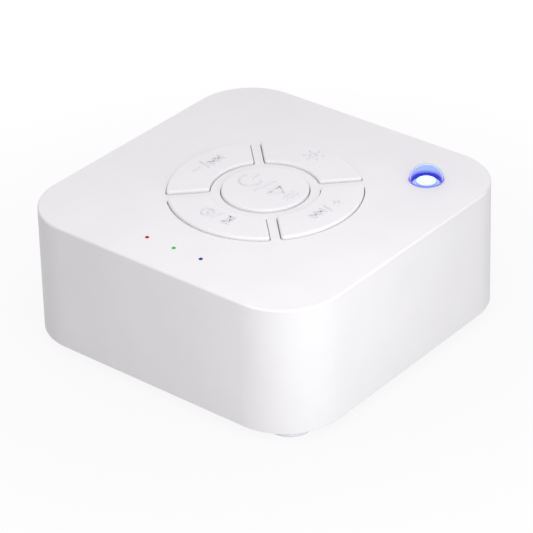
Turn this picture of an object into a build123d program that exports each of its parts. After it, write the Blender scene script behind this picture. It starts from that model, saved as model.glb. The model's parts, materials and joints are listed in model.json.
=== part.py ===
from build123d import *
from math import cos, radians, sin, sqrt, tan
import os

# White noise sound machine: a square tabletop box with a round cluster of five keys on its top,
# three indicator lights, a domed night light, and a speaker that fires down through the base.
# Millimetres, +Z up. The origin is on the table under the middle of the case; -Y is the front.

# --- Case -----------------------------------------------------------------------------------
case_width = 100.0  # across the walls at the top
case_height = 38.2  # walls, from the lower rim to the top face
corner_radius = 17.8  # plan radius of the corners at the top
wall_draft = 0.7  # degrees; the walls widen towards the base
wall = 2.0
top_wall = 2.2
top_edge_radius = 0.6
opening_edge_radius = 0.15  # broken edge round each key opening
rim_wall = 1.2  # wall left beside the base cover's rebate
cover_thickness = 2.0
cover_gap = 0.1  # between the cover's edge and the rim
lip_height = 2.6  # locating lip that stands inside the walls
lip_thickness = 1.2
lip_gap = 0.15

# --- Feet and case screws ---------------------------------------------------------------------
foot_stand = 2.4  # how far the feet hold the case off the table
foot_radius = 5.5
foot_recess = 0.8
foot_edge_radius = 0.7
foot_inset = 11.2  # foot and screw centres, from the outside of the walls at the base
seat_gap = 0.1  # play of a piece in its recess
tower_radius = 4.2  # screw tower on the base cover
tower_height = 7.0
tower_floor = 2.0
boss_radius = 3.4  # screw boss under the top
gusset_thickness = 1.2
case_screw_radius = 1.25
case_screw_length = 9.0
case_screw_head_radius = 2.6
case_screw_head_height = 1.9
pilot_gap = 0.05  # between a screw's core and its pilot hole
screw_gap = 0.3  # between a screw and its clearance hole
drive_width = 0.6  # cross recess in each screw head
drive_length = 0.6  # arms of the recess, as a share of the head's width
pilot_spare = 0.4  # pilot hole left beyond a screw's tip

# --- Keys -------------------------------------------------------------------------------------
power_key_radius = 12.3
key_web = 2.75  # ring of top surface between the power key's opening and the ring keys'
ring_key_width = 11.95  # from the inner to the outer edge of a ring key
spoke_width = 2.65  # top surface left between two ring keys, gaps included
key_gap = 0.25  # round each key in its opening
key_corner_radius = 0.9
core_corner = 0.5
key_edge_radius = 0.6
key_proud = 0.95  # how far the keys stand above the top
key_flange_reach = 0.6  # flange beyond the opening, which keeps the key in
key_flange_thickness = 1.1
key_wall = 1.2  # walls and top of each hollow key
key_top = 1.4
key_rib_thickness = 1.0
stem_boss_radius = 2.6
key_rest_gap = 0.05
stem_radius = 1.9
stem_gap = 0.06  # running clearance of a stem in its bush

# --- Key guide --------------------------------------------------------------------------------
guide_drop = 3.1  # guide plate below the underside of the top
guide_thickness = 1.4
guide_window_edge = 2.0  # web left round the guide plate's windows
guide_window_corner = 1.0
bush_radius = 3.3
bush_rise = 0.6
guide_post_radius = 2.6
guide_post_angle = 20.0  # degrees from the left-right line to each guide screw
guide_post_gap = 0.45  # between the rib round the cluster and the guide posts
guide_ear_radius = 3.4
post_screw_radius = 0.85
guide_screw_length = 4.0
board_screw_length = 6.0
post_screw_head_radius = 1.8
post_screw_head_height = 1.3
cluster_rib_thickness = 1.2
cluster_rib_height = 2.4
cluster_rib_gap = 0.8  # between the key flanges and the rib round the cluster

# --- Switches ---------------------------------------------------------------------------------
switch_width = 6.0
switch_body_height = 3.5
switch_height = 4.3  # board to the top of the plunger
switch_chamfer = 0.4
plunger_radius = 1.7
plunger_gap = 0.08
plunger_depth = 0.9  # plunger inside the switch body
plunger_well = 1.7
leg_width = 0.7
leg_length = 0.9
leg_thickness = 0.25
leg_pitch = 4.5

# --- Main board -------------------------------------------------------------------------------
board_drop = 9.4  # board below the underside of the top
board_thickness = 1.6
board_side_gap = 6.2  # between the board and the side and front walls
board_rear_gap = 1.4
board_notch_gap = 1.0
board_post_inset = 6.0  # from the sides of the board
board_post_y = 18.0
sound_chip_size = (10.0, 4.0, 1.6)
sound_chip_place = (-17.0, 27.0)
amplifier_size = (5.0, 4.0, 1.6)
amplifier_place = (14.0, 27.0)
chip_chamfer = 0.2
capacitor_radius = 3.15
capacitor_height = 7.0
capacitor_base = 1.0
capacitor_base_margin = 0.15
capacitor_inset = 11.0  # from the left side of the board
capacitor_spacing = 10.0
connector_size = (4.6, 6.0, 5.5)
connector_chamfer = 0.4
connector_inset = 8.5  # from the right side of the board
speaker_connector_y = 4.0
battery_connector_y = -10.0

# --- Sockets in the rear wall -----------------------------------------------------------------
jack_x = -12.0
jack_width = 7.0
jack_height = 5.0
jack_body_length = 12.5
jack_barrel_radius = 2.5
jack_bore_radius = 1.8
jack_bore_length = 13.5
socket_setback = 0.4  # socket mouths behind the outside of the wall
usb_x = 12.0
usb_width = 7.6
usb_height = 2.7
usb_length = 5.4
usb_shell = 0.3
usb_back = 1.0
usb_corner_radius = 0.8
usb_tongue = (3.6, 0.6)
usb_tongue_setback = 1.0
socket_gap = 0.35  # wall opening round each socket

# --- Lights -----------------------------------------------------------------------------------
night_light_inset = 18.0  # from the top's right and rear edges
lens_radius = 4.9
lens_height = 3.55  # of the dome above the top face
lens_wall = 0.5
lens_flange_radius = 6.2
lens_flange_thickness = 1.2
lens_rib_thickness = 1.0
lens_gap = 0.1
led_radius = 2.9
led_edge_radius = 0.4  # round the lamp's flat top
led_flange_radius = 3.2
led_flange_thickness = 1.0
led_height = 8.6
led_drop = 0.8  # top of the lamp below the top face
led_leg_radius = 0.25
led_leg_pitch = 2.54
led_leg_tail = 0.8  # leg left below the board
holder_radius = 4.2  # spacer round the lamp, inside the lens
holder_drop = 1.6  # top of the spacer below the top face
holder_gap = 0.1
indicator_radius = 0.45
indicator_gap = 0.05
indicator_pitch = 9.48
indicator_inset = 11.0  # from the top's front edge
pipe_radius = 1.0
pipe_sleeve_radius = 1.9
pipe_sleeve_length = 4.0
chip_led_size = (1.6, 0.8, 0.7)
chip_led_gap = 0.2

# --- Speaker ----------------------------------------------------------------------------------
speaker_radius = 25.0
speaker_sheet = 0.8
speaker_lug_inset = 2.6  # lug screws outside the round of the frame
speaker_lug_radius = 3.4
speaker_flange_width = 2.1
speaker_step = 0.4  # recess for the rim of the surround
speaker_step_width = 1.3
surround_width = 2.3
surround_roll = 1.3
surround_glue_width = 1.0  # lap of the surround on the cone
basket_depth = 7.6
basket_spoke_width = 6.0
basket_window_corner = 1.0
pole_radius = 5.6
magnetic_gap = 1.0
plate_width = 6.6
plate_thickness = 2.0
plate_margin = 1.0  # frame outside the top plate
magnet_bore_margin = 1.4  # between the top plate's bore and the magnet's
magnet_width = 7.0
magnet_thickness = 4.5
yoke_margin = 1.2  # magnet outside the yoke
yoke_thickness = 2.0
cone_thickness = 0.4
cone_curve = 0.4  # height of the cone's middle, as a share of its depth
cap_bulge = 0.7  # where the dust cap has fallen to half its height, as a share of its radius
coil_wall = 0.3
coil_length = 5.3
spider_margin = 1.4  # frame outside the spider
gasket_thickness = 0.8
gasket_width = 2.6
gasket_seat_height = 1.0
speaker_post_radius = 2.6
speaker_screw_radius = 0.95
speaker_screw_length = 2.8
speaker_screw_head_radius = 1.9
speaker_screw_head_height = 1.3
speaker_rim_gap = 0.3
speaker_rim_thickness = 1.0
terminal_size = (4.0, 8.0, 0.8)
terminal_lap = 1.0  # lap of the terminal strip on the frame
grille_hole_radius = 1.0
grille_pitch = 3.7
grille_rings = 5

# --- Battery and leads ------------------------------------------------------------------------
cell_radius = 9.2
cell_length = 50.0
cell_wall_gap = 0.5
cell_lift = 0.4
cell_gap = 0.1
cell_edge_radius = 0.8
saddle_thickness = 2.0
saddle_spacing = 28.0
saddle_rise = 7.4  # saddle above the cover, beside the cell
end_stop_thickness = 1.4
foam_length = 30.0
foam_width = 9.0
lead_radius = 0.5
lead_spacing = 2.4
lead_rise = 4.4  # straight run out of the speaker's terminal
lead_drop = 4.6  # straight run into a board connector
lead_bend = 3.2
cell_lead_run = 6.0  # straight run out of the cell's end
cell_lead_drop = 5.5
cell_lead_lift = 1.2  # leads above the cell's axis
cell_lead_bend = 2.6

# --- Levels and widths that follow ------------------------------------------------------------
case_bottom = foot_stand
case_top = case_bottom + case_height
top_underside = case_top - top_wall
cover_top = case_bottom + cover_thickness
flare = tan(radians(wall_draft))
base_width = case_width + 2 * case_height * flare
base_corner = corner_radius + case_height * flare
foot_offset = base_width / 2 - foot_inset
tower_top = cover_top + tower_height
board_top = top_underside - board_drop
board_bottom = board_top - board_thickness
speaker_face = cover_top + gasket_seat_height + gasket_thickness
basket_back = speaker_face + basket_depth
plate_top = basket_back + plate_thickness
magnet_top = plate_top + magnet_thickness
yoke_top = magnet_top + yoke_thickness
stem_bottom = board_top + switch_height
flange_top = top_underside - key_rest_gap
flange_bottom = flange_top - key_flange_thickness
guide_top = top_underside - guide_drop
guide_bottom = guide_top - guide_thickness
key_inner_radius = power_key_radius + 2 * key_gap + key_web
key_outer_radius = key_inner_radius + ring_key_width
ring_key_middle = (key_outer_radius + key_inner_radius) / 2
indicator_y = -(case_width / 2 - indicator_inset)
night_light_offset = case_width / 2 - night_light_inset

key_angles = {
    "timer": 0,
    "volume_up": 90,
    "night_light": 180,
    "volume_down": 270,
}
switch_places = {"power": (0, 0)}
for key_name, key_angle in key_angles.items():
    middle = Vector(0, -ring_key_middle).rotate(Axis.Z, key_angle)
    switch_places[key_name] = (middle.X, middle.Y)


def outside_at(height):
    """Half the width across the outside of the walls at a height."""
    return case_width / 2 + (case_top - height) * flare


def save(part, name):
    """Label a finished part and write it as one STEP file."""
    part.label = name
    export_step(part, f"parts/{name}.step")


def mirrored_places(x_offset, y_offset):
    """A point and its mirror images in both middle planes."""
    return [(x, y) for x in (-x_offset, x_offset) for y in (-y_offset, y_offset)]


def ring_sector(inner_radius, outer_radius, spoke, corner):
    """A quarter ring about -Y, cut parallel to the two diagonals beside it."""
    reach = 2 * outer_radius
    apex = -spoke / sqrt(2)
    with BuildSketch() as sector:
        Circle(outer_radius)
        Circle(inner_radius, mode=Mode.SUBTRACT)
        Polygon((0, apex), (-reach, apex - reach), (reach, apex - reach), align=None, mode=Mode.INTERSECT)
        fillet(sector.vertices(), corner)
    return sector.sketch


def screw(name, places, seat, direction, shank, length, head, head_height):
    """Pan-head screws, one solid at each place; the shanks leave the seat along direction."""
    with BuildPart() as screws:
        with BuildSketch(Plane.XY.offset(seat)):
            with Locations(*places):
                Circle(head)
        extrude(amount=-direction * head_height)
        outer_end = 0 if direction > 0 else -1
        outer_face = screws.faces().sort_by(Axis.Z)[outer_end]
        head_edges = screws.edges().filter_by(GeomType.CIRCLE).group_by(Axis.Z)[outer_end]
        fillet(head_edges, head_height / 3)
        with BuildSketch(Plane.XY.offset(outer_face.center().Z)):
            with Locations(*places):
                Rectangle(2 * head * drive_length, drive_width)
                Rectangle(drive_width, 2 * head * drive_length)
        extrude(amount=direction * head_height / 2, mode=Mode.SUBTRACT)
        with BuildSketch(Plane.XY.offset(seat)):
            with Locations(*places):
                Circle(shank)
        extrude(amount=direction * length)
        tips = screws.edges().filter_by(GeomType.CIRCLE).group_by(Axis.Z)[-1 if direction > 0 else 0]
        chamfer(tips, shank / 3)
    save(screws.part, name)


# --- Upper case: the top and all four walls in one moulding -----------------------------------
flange_reach = key_gap + key_flange_reach
cluster_rib_radius = key_outer_radius + flange_reach + cluster_rib_gap
guide_post_reach = cluster_rib_radius + cluster_rib_thickness + guide_post_gap + guide_post_radius
guide_post_places = mirrored_places(
    guide_post_reach * cos(radians(guide_post_angle)), guide_post_reach * sin(radians(guide_post_angle))
)
board_half = outside_at(board_top) - wall - board_side_gap
board_post_places = mirrored_places(board_half - board_post_inset, board_post_y)
boss_places = mirrored_places(foot_offset, foot_offset)
indicator_places = [(x, indicator_y) for x in (-indicator_pitch, 0, indicator_pitch)]
jack_axis = board_bottom - jack_height / 2
usb_axis = board_bottom - usb_height / 2
key_opening = ring_sector(
    key_inner_radius - key_gap, key_outer_radius + key_gap, spoke_width, key_corner_radius + key_gap
)
cavity_width = base_width - 2 * wall
cavity_corner = base_corner - wall

with BuildPart() as upper_case:
    with BuildSketch(Plane.XY.offset(case_bottom)):
        RectangleRounded(base_width, base_width, base_corner)
    extrude(amount=case_height, taper=wall_draft)
    fillet(upper_case.faces().sort_by(Axis.Z)[-1].edges(), top_edge_radius)
    with BuildSketch(Plane.XY.offset(case_bottom)):
        RectangleRounded(cavity_width, cavity_width, cavity_corner)
    extrude(amount=case_height - top_wall, taper=wall_draft, mode=Mode.SUBTRACT)
    with BuildSketch(Plane.XY.offset(case_bottom)):
        RectangleRounded(base_width - 2 * rim_wall, base_width - 2 * rim_wall, base_corner - rim_wall)
    extrude(amount=cover_thickness, mode=Mode.SUBTRACT)

    # Openings for the keys, the lens and the indicator lights
    with BuildSketch(Plane.XY.offset(top_underside)):
        Circle(power_key_radius + key_gap)
        for key_angle in key_angles.values():
            add(key_opening.rotate(Axis.Z, key_angle))
        with Locations((night_light_offset, night_light_offset)):
            Circle(lens_radius + lens_gap)
    extrude(amount=top_wall, mode=Mode.SUBTRACT)
    opening_edges = upper_case.faces().sort_by(Axis.Z)[-1].inner_wires().edges()
    fillet(opening_edges, opening_edge_radius)
    with BuildSketch(Plane.XY.offset(top_underside)):
        with Locations(*indicator_places):
            Circle(indicator_radius + indicator_gap)
    extrude(amount=top_wall, mode=Mode.SUBTRACT)

    # Screw bosses with gussets into the corners
    with BuildSketch(Plane.XY.offset(tower_top)):
        with Locations(*boss_places):
            Circle(boss_radius)
        gusset_end = sqrt(2) * (base_width / 2 - base_corner) + base_corner - 1.5 * wall
        gusset_start = sqrt(2) * foot_offset
        with PolarLocations((gusset_start + gusset_end) / 2, 4, 45):
            Rectangle(gusset_end - gusset_start, gusset_thickness)
    extrude(amount=top_underside - tower_top)

    # Posts for the key guide and for the board
    with BuildSketch(Plane.XY.offset(guide_top)):
        with Locations(*guide_post_places):
            Circle(guide_post_radius)
    extrude(amount=guide_drop)
    with BuildSketch(Plane.XY.offset(board_top)):
        with Locations(*board_post_places):
            Circle(guide_post_radius)
    extrude(amount=board_drop)

    # Ribs round the key cluster and the lens flange, and sleeves for the light pipes
    with BuildSketch(Plane.XY.offset(top_underside - cluster_rib_height)):
        Circle(cluster_rib_radius + cluster_rib_thickness)
        Circle(cluster_rib_radius, mode=Mode.SUBTRACT)
    extrude(amount=cluster_rib_height)
    with BuildSketch(Plane.XY.offset(top_underside - lens_flange_thickness)):
        with Locations((night_light_offset, night_light_offset)):
            Circle(lens_flange_radius + lens_gap + lens_rib_thickness)
            Circle(lens_flange_radius + lens_gap, mode=Mode.SUBTRACT)
    extrude(amount=lens_flange_thickness)
    with BuildSketch(Plane.XY.offset(top_underside - pipe_sleeve_length)):
        with Locations(*indicator_places):
            Circle(pipe_sleeve_radius)
            Circle(pipe_radius + indicator_gap, mode=Mode.SUBTRACT)
    extrude(amount=pipe_sleeve_length)

    # Pilot holes for the screws
    with BuildSketch(Plane.XY.offset(tower_top)):
        with Locations(*boss_places):
            Circle(case_screw_radius + pilot_gap)
    extrude(amount=case_screw_length, mode=Mode.SUBTRACT)
    with BuildSketch(Plane.XY.offset(guide_top)):
        with Locations(*guide_post_places):
            Circle(post_screw_radius + pilot_gap)
    extrude(amount=guide_drop, mode=Mode.SUBTRACT)
    with BuildSketch(Plane.XY.offset(board_top)):
        with Locations(*board_post_places):
            Circle(post_screw_radius + pilot_gap)
    extrude(amount=board_screw_length, mode=Mode.SUBTRACT)

    # Socket openings in the rear wall
    with BuildSketch(Plane.XZ.offset(-base_width / 2)):
        with Locations((jack_x, jack_axis)):
            Circle(jack_barrel_radius + socket_gap)
        with Locations((usb_x, usb_axis)):
            RectangleRounded(usb_width + 2 * socket_gap, usb_height + 2 * socket_gap, usb_corner_radius)
    extrude(amount=2 * wall, mode=Mode.SUBTRACT)
save(upper_case.part, "upper_case")

# --- Bottom cover: plate with grille, screw towers, speaker seat and battery saddles ----------
cover_width = base_width - 2 * (rim_wall + cover_gap)
cover_corner = base_corner - rim_wall - cover_gap
lip_outside = outside_at(cover_top + lip_height) - wall - lip_gap
lip_corner = base_corner - wall - lip_gap
cell_x_end = cell_length / 2
cell_y = -(lip_outside - lip_thickness - cell_wall_gap - cell_radius)
cell_z = cover_top + cell_lift + cell_radius
gasket_outer_radius = speaker_radius - speaker_rim_gap
speaker_lug_offset = (speaker_radius + speaker_lug_inset) / sqrt(2)
speaker_lug_places = mirrored_places(speaker_lug_offset, speaker_lug_offset)
rim_inner_radius = speaker_radius + speaker_rim_gap

with BuildPart() as bottom_cover:
    with BuildSketch(Plane.XY.offset(case_bottom)):
        RectangleRounded(cover_width, cover_width, cover_corner)
    extrude(amount=cover_thickness)
    with BuildSketch(Plane.XY.offset(cover_top)):
        RectangleRounded(2 * lip_outside, 2 * lip_outside, lip_corner)
        lip_inside = lip_outside - lip_thickness
        RectangleRounded(2 * lip_inside, 2 * lip_inside, lip_corner - lip_thickness, mode=Mode.SUBTRACT)
    extrude(amount=lip_height)

    # Seat, rim and posts of the speaker
    with BuildSketch(Plane.XY.offset(cover_top)):
        Circle(gasket_outer_radius)
        Circle(gasket_outer_radius - gasket_width, mode=Mode.SUBTRACT)
    extrude(amount=gasket_seat_height)
    with BuildSketch(Plane.XY.offset(cover_top)):
        Circle(rim_inner_radius + speaker_rim_thickness)
        Circle(rim_inner_radius, mode=Mode.SUBTRACT)
        with Locations(*speaker_lug_places):
            Circle(speaker_lug_radius + speaker_rim_gap, mode=Mode.SUBTRACT)
    extrude(amount=speaker_face + speaker_sheet / 2 - cover_top)
    with BuildSketch(Plane.XY.offset(cover_top)):
        with Locations(*speaker_lug_places):
            Circle(speaker_post_radius)
    extrude(amount=speaker_face - cover_top)
    with BuildSketch(Plane.XY.offset(speaker_face)):
        with Locations(*speaker_lug_places):
            Circle(speaker_screw_radius + pilot_gap)
    extrude(amount=-speaker_screw_length, mode=Mode.SUBTRACT)

    # Saddles and end stops of the battery cell
    saddle_depth = 2 * (cell_radius + cell_wall_gap)
    with BuildSketch(Plane.XY.offset(cover_top)):
        with Locations((-saddle_spacing / 2, cell_y), (saddle_spacing / 2, cell_y)):
            Rectangle(saddle_thickness, saddle_depth)
        stop_x = cell_x_end + cell_gap + end_stop_thickness / 2
        with Locations((-stop_x, cell_y), (stop_x, cell_y)):
            Rectangle(end_stop_thickness, cell_radius)
    extrude(amount=saddle_rise)
    with BuildSketch(Plane.YZ.offset(-cell_x_end - cell_gap)):
        with Locations((cell_y, cell_z)):
            Circle(cell_radius + cell_gap)
    extrude(amount=cell_length + 2 * cell_gap, mode=Mode.SUBTRACT)

    # Screw towers, open from below
    with BuildSketch(Plane.XY.offset(cover_top)):
        with Locations(*boss_places):
            Circle(tower_radius)
    extrude(amount=tower_height)
    with Locations(*[(x, y, tower_top) for x, y in boss_places]):
        Hole(case_screw_radius + screw_gap)
    with BuildSketch(Plane.XY.offset(case_bottom)):
        with Locations(*boss_places):
            Circle(case_screw_head_radius + screw_gap)
    extrude(amount=tower_top - tower_floor - case_bottom, mode=Mode.SUBTRACT)
    with BuildSketch(Plane.XY.offset(case_bottom)):
        with Locations(*boss_places):
            Circle(foot_radius + seat_gap)
    extrude(amount=foot_recess, mode=Mode.SUBTRACT)

    # Grille: a middle hole and rings of six, twelve, eighteen and so on
    with BuildSketch(Plane.XY.offset(case_bottom)):
        Circle(grille_hole_radius)
        for ring in range(1, grille_rings + 1):
            with PolarLocations(ring * grille_pitch, 6 * ring):
                Circle(grille_hole_radius)
    extrude(amount=cover_thickness, mode=Mode.SUBTRACT)
save(bottom_cover.part, "bottom_cover")

# --- Feet and case screws ---------------------------------------------------------------------
foot_names = ["foot_front_left", "foot_rear_left", "foot_front_right", "foot_rear_right"]
for foot_name, (foot_x, foot_y) in zip(foot_names, boss_places):
    with BuildPart() as foot:
        with BuildSketch():
            with Locations((foot_x, foot_y)):
                Circle(foot_radius)
        extrude(amount=foot_stand + foot_recess)
        fillet(foot.edges().group_by(Axis.Z)[0], foot_edge_radius)
    save(foot.part, foot_name)

screw(
    "case_screws", boss_places, tower_top - tower_floor, 1, case_screw_radius,
    tower_floor + case_screw_length - pilot_spare, case_screw_head_radius, case_screw_head_height,
)

# --- Keys: cap through the top, flange under it, stem down to the switch ----------------------
stem_length = flange_bottom - stem_bottom
core_height = case_top + key_proud - key_top - flange_bottom
with BuildPart() as power_button:
    with BuildSketch(Plane.XY.offset(flange_bottom)):
        Circle(power_key_radius)
    extrude(amount=case_top + key_proud - flange_bottom)
    fillet(power_button.edges().group_by(Axis.Z)[-1], key_edge_radius)
    with BuildSketch(Plane.XY.offset(flange_bottom)):
        Circle(power_key_radius + flange_reach)
    extrude(amount=key_flange_thickness)
    with BuildSketch(Plane.XY.offset(flange_bottom)):
        Circle(power_key_radius - key_wall)
        Rectangle(2 * power_key_radius, key_rib_thickness, mode=Mode.SUBTRACT)
        Rectangle(key_rib_thickness, 2 * power_key_radius, mode=Mode.SUBTRACT)
        Circle(stem_boss_radius, mode=Mode.SUBTRACT)
    extrude(amount=core_height, mode=Mode.SUBTRACT)
    with BuildSketch(Plane.XY.offset(stem_bottom)):
        Circle(stem_radius)
    extrude(amount=stem_length)
save(power_button.part, "power_button")

key_cap = ring_sector(
    key_inner_radius, key_outer_radius, spoke_width + 2 * key_gap, key_corner_radius
)
key_flange = ring_sector(
    key_inner_radius - flange_reach,
    key_outer_radius + flange_reach,
    spoke_width - 2 * key_flange_reach,
    key_corner_radius,
)
with BuildSketch() as key_core:
    core_spoke = spoke_width + 2 * (key_gap + key_wall)
    rib_edge = key_rib_thickness / 2
    add(ring_sector(key_inner_radius + key_wall, ring_key_middle - rib_edge, core_spoke, core_corner))
    add(ring_sector(ring_key_middle + rib_edge, key_outer_radius - key_wall, core_spoke, core_corner))
    with Locations((0, -ring_key_middle)):
        Rectangle(key_rib_thickness, ring_key_width, mode=Mode.SUBTRACT)
        Circle(stem_boss_radius, mode=Mode.SUBTRACT)
for key_name, key_angle in key_angles.items():
    with BuildPart() as button:
        with BuildSketch(Plane.XY.offset(flange_bottom)):
            add(key_cap.rotate(Axis.Z, key_angle))
        extrude(amount=case_top + key_proud - flange_bottom)
        fillet(button.edges().group_by(Axis.Z)[-1], key_edge_radius)
        with BuildSketch(Plane.XY.offset(flange_bottom)):
            add(key_flange.rotate(Axis.Z, key_angle))
        extrude(amount=key_flange_thickness)
        with BuildSketch(Plane.XY.offset(flange_bottom)):
            add(key_core.sketch.rotate(Axis.Z, key_angle))
        extrude(amount=core_height, mode=Mode.SUBTRACT)
        with BuildSketch(Plane.XY.offset(stem_bottom)):
            with Locations(switch_places[key_name]):
                Circle(stem_radius)
        extrude(amount=stem_length)
    save(button.part, f"{key_name}_button")

# --- Key guide: plate with a bush for each stem -----------------------------------------------
guide_window = ring_sector(
    bush_radius + guide_window_edge,
    ring_key_middle - bush_radius - guide_window_edge,
    2 * guide_window_edge,
    guide_window_corner,
)
with BuildPart() as key_guide:
    with BuildSketch(Plane.XY.offset(guide_bottom)):
        Circle(guide_post_reach - guide_post_radius)
        with Locations(*guide_post_places):
            Circle(guide_ear_radius)
        for key_angle in key_angles.values():
            add(guide_window.rotate(Axis.Z, key_angle), mode=Mode.SUBTRACT)
        with Locations(*guide_post_places):
            Circle(post_screw_radius + screw_gap, mode=Mode.SUBTRACT)
    extrude(amount=guide_thickness)
    with BuildSketch(Plane.XY.offset(guide_bottom)):
        with Locations(*switch_places.values()):
            Circle(bush_radius)
    extrude(amount=guide_thickness + bush_rise)
    with BuildSketch(Plane.XY.offset(guide_bottom)):
        with Locations(*switch_places.values()):
            Circle(stem_radius + stem_gap)
    extrude(amount=guide_thickness + bush_rise, mode=Mode.SUBTRACT)
save(key_guide.part, "key_guide")

screw(
    "key_guide_screws", guide_post_places, guide_bottom, 1, post_screw_radius,
    guide_screw_length, post_screw_head_radius, post_screw_head_height,
)

# --- Tact switches and their plungers ---------------------------------------------------------
switch_top = board_top + switch_body_height
for key_name, (switch_x, switch_y) in switch_places.items():
    with BuildPart() as switch:
        with BuildSketch(Plane.XY.offset(board_top)):
            with Locations((switch_x, switch_y)):
                Rectangle(switch_width, switch_width)
        extrude(amount=switch_body_height)
        chamfer(switch.edges().group_by(Axis.Z)[-1], switch_chamfer)
        with BuildSketch(Plane.XY.offset(switch_top)):
            with Locations((switch_x, switch_y)):
                Circle(plunger_radius + plunger_gap)
        extrude(amount=-plunger_well, mode=Mode.SUBTRACT)
        with BuildSketch(Plane.XY.offset(board_top)):
            with Locations((switch_x, switch_y)):
                with GridLocations(switch_width + leg_length, leg_pitch, 2, 2):
                    Rectangle(leg_length, leg_width)
        extrude(amount=leg_thickness)
    save(switch.part, f"{key_name}_switch")

    with BuildPart() as plunger:
        with BuildSketch(Plane.XY.offset(switch_top - plunger_depth)):
            with Locations((switch_x, switch_y)):
                Circle(plunger_radius)
        extrude(amount=stem_bottom - switch_top + plunger_depth)
    save(plunger.part, f"{key_name}_plunger")

# --- Main board -------------------------------------------------------------------------------
board_rear = outside_at(board_top) - wall - board_rear_gap
board_front = -board_half
notch_edge = foot_offset - boss_radius - board_notch_gap
led_leg_places = [(night_light_offset + side * led_leg_pitch / 2, night_light_offset) for side in (-1, 1)]

with BuildPart() as main_board:
    with BuildSketch(Plane.XY.offset(board_bottom)):
        with Locations((0, (board_front + board_rear) / 2)):
            Rectangle(2 * board_half, board_rear - board_front)
        with Locations(*mirrored_places(notch_edge + case_width / 2, notch_edge + case_width / 2)):
            Rectangle(case_width, case_width, mode=Mode.SUBTRACT)
        with Locations(*board_post_places):
            Circle(post_screw_radius + screw_gap, mode=Mode.SUBTRACT)
        with Locations(*led_leg_places):
            Circle(led_leg_radius + pilot_gap, mode=Mode.SUBTRACT)
    extrude(amount=board_thickness)
save(main_board.part, "main_board")

screw(
    "board_screws", board_post_places, board_bottom, 1, post_screw_radius,
    board_screw_length, post_screw_head_radius, post_screw_head_height,
)


def board_block(name, place, size, corner):
    """A moulded block that hangs under the board."""
    with BuildPart() as block:
        with BuildSketch(Plane.XY.offset(board_bottom)):
            with Locations(place):
                Rectangle(size[0], size[1])
        extrude(amount=-size[2])
        chamfer(block.edges().group_by(Axis.Z)[0], corner)
    save(block.part, name)


connector_x = board_half - connector_inset
speaker_connector_place = (connector_x, speaker_connector_y)
battery_connector_place = (connector_x, battery_connector_y)
board_block("sound_chip", sound_chip_place, sound_chip_size, chip_chamfer)
board_block("amplifier_chip", amplifier_place, amplifier_size, chip_chamfer)
board_block("speaker_connector", speaker_connector_place, connector_size, connector_chamfer)
board_block("battery_connector", battery_connector_place, connector_size, connector_chamfer)

capacitor_x = capacitor_inset - board_half
capacitor_base_width = 2 * (capacitor_radius + capacitor_base_margin)
capacitor_places = [(capacitor_x, 0), (capacitor_x, capacitor_spacing)]
with BuildPart() as capacitors:
    with BuildSketch(Plane.XY.offset(board_bottom)):
        with Locations(*capacitor_places):
            Rectangle(capacitor_base_width, capacitor_base_width)
    extrude(amount=-capacitor_base)
    with BuildSketch(Plane.XY.offset(board_bottom - capacitor_base)):
        with Locations(*capacitor_places):
            Circle(capacitor_radius)
    extrude(amount=capacitor_base - capacitor_height)
    fillet(capacitors.edges().group_by(Axis.Z)[0], capacitor_radius / 8)
save(capacitors.part, "capacitors")

# --- Sockets ----------------------------------------------------------------------------------
jack_mouth = outside_at(jack_axis) - socket_setback
jack_body_front = outside_at(jack_axis) - wall - lip_gap
with BuildPart() as headphone_jack:
    with BuildSketch(Plane.XZ.offset(-jack_body_front)):
        with Locations((jack_x, jack_axis)):
            Rectangle(jack_width, jack_height)
    extrude(amount=jack_body_length)
    with BuildSketch(Plane.XZ.offset(-jack_mouth)):
        with Locations((jack_x, jack_axis)):
            Circle(jack_barrel_radius)
    extrude(amount=jack_mouth - jack_body_front)
    with BuildSketch(Plane.XZ.offset(-jack_mouth)):
        with Locations((jack_x, jack_axis)):
            Circle(jack_bore_radius)
    extrude(amount=jack_bore_length, mode=Mode.SUBTRACT)
save(headphone_jack.part, "headphone_jack")

usb_mouth = outside_at(usb_axis) - socket_setback
with BuildPart() as micro_usb_socket:
    with BuildSketch(Plane.XZ.offset(-usb_mouth)) as usb_outline:
        with Locations((usb_x, usb_axis)):
            Rectangle(usb_width, usb_height)
        chamfer(usb_outline.vertices().group_by(Axis.Z)[0], usb_corner_radius)
    extrude(amount=usb_length)
    with BuildSketch(Plane.XZ.offset(-usb_mouth)):
        offset(usb_outline.sketch, -usb_shell)
    extrude(amount=usb_length - usb_back, mode=Mode.SUBTRACT)
    with BuildSketch(Plane.XZ.offset(usb_tongue_setback - usb_mouth)):
        with Locations((usb_x, usb_axis + usb_tongue[1] / 2)):
            Rectangle(*usb_tongue)
    extrude(amount=usb_length - usb_tongue_setback - usb_back / 2)
save(micro_usb_socket.part, "micro_usb_socket")

# --- Night light: hollow domed lens over a round lamp in a spacer -----------------------------
lens_foot = (night_light_offset, night_light_offset, 0)


def dome_radius(half_width, rise):
    """Radius of the arc that rises this far over a chord of twice the half width."""
    return (half_width**2 + rise**2) / (2 * rise)


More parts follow.
